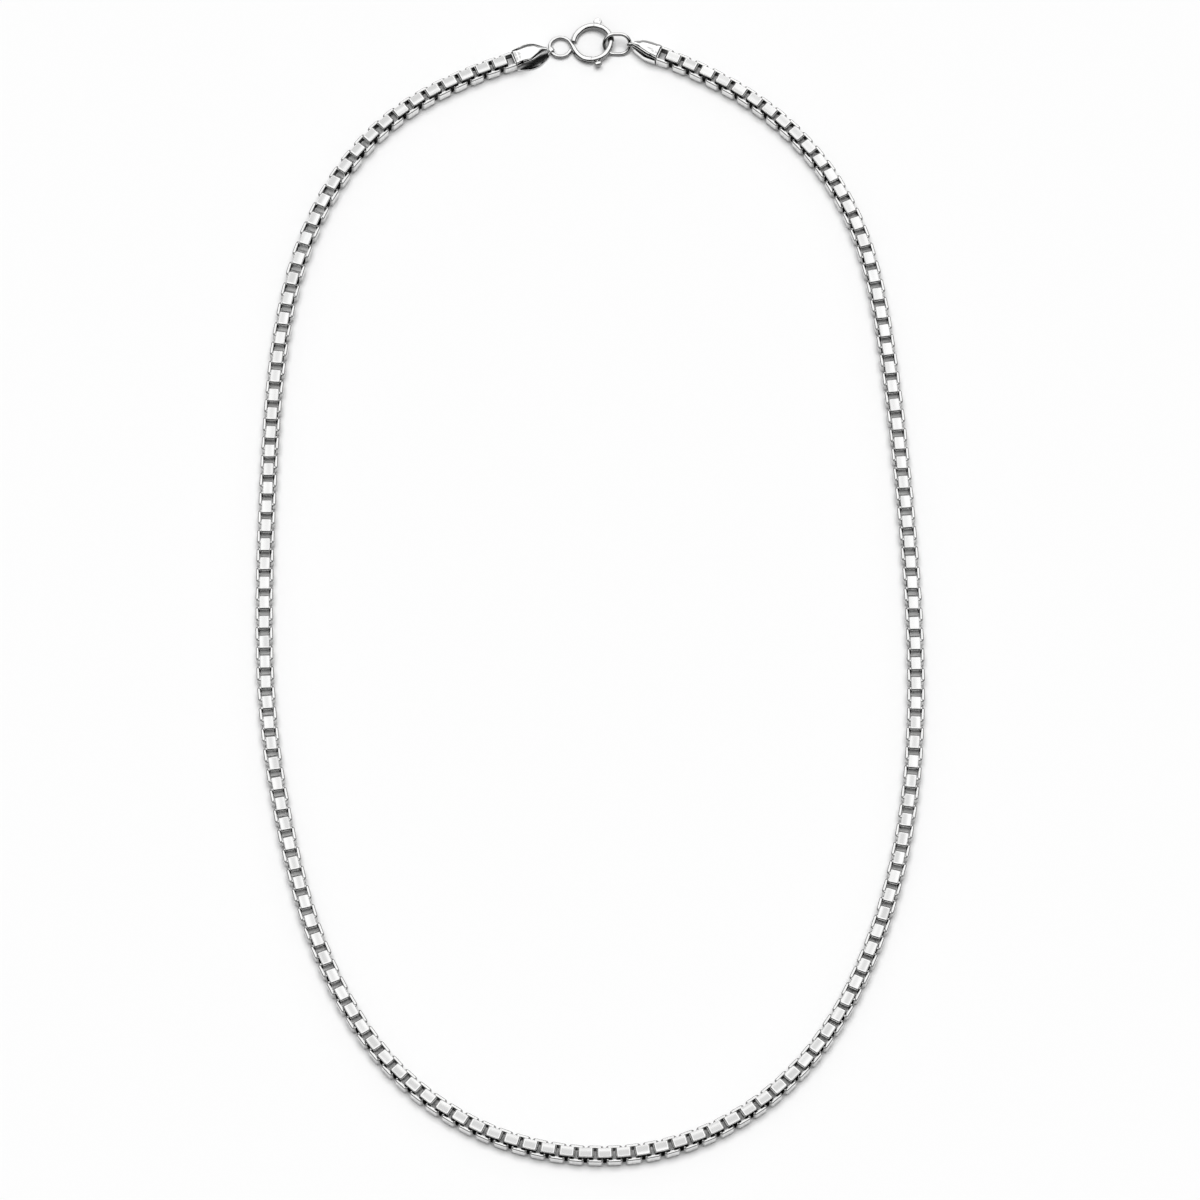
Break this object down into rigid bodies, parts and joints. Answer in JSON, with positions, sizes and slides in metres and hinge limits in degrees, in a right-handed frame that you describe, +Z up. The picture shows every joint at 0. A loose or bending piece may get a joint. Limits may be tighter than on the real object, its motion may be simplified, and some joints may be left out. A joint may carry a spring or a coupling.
{
  "type": "box chain necklace",
  "caption": "Square box chain necklace in polished silver with folded end caps, a jump ring and a sprung bolt ring clasp, closed and lying flat.",
  "frame": {"origin": "middle of the closed loop as it lies, on the surface that it lies on", "axes": "+Z up from the surface, +Y towards the clasp at the back of the neck, +X to the wearer's left when the clasp is away from the viewer"},
  "size_m": [0.1001, 0.1887, 0.0027],
  "materials": {
    "silver": "polished"
  },
  "bodies": {
    "necklace": {"chain_left": "silver", "chain_right": "silver", "end_cap_left": "silver", "end_cap_right": "silver", "clasp_ring": "silver", "jump_ring": "silver"},
    "bolt": {"clasp_bolt": "silver"}
  },
  "joints": [
    {"name": "bolt_slide", "type": "hinge", "parent": "necklace", "child": "bolt", "pos_m": [0.0003, 0.0898, 0.00093], "axis": [0.1461, 0, -0.9893], "range_deg": [0, 40], "stiffness_Nm_per_rad": 0.002, "springref_deg": -17.19}
  ]
}
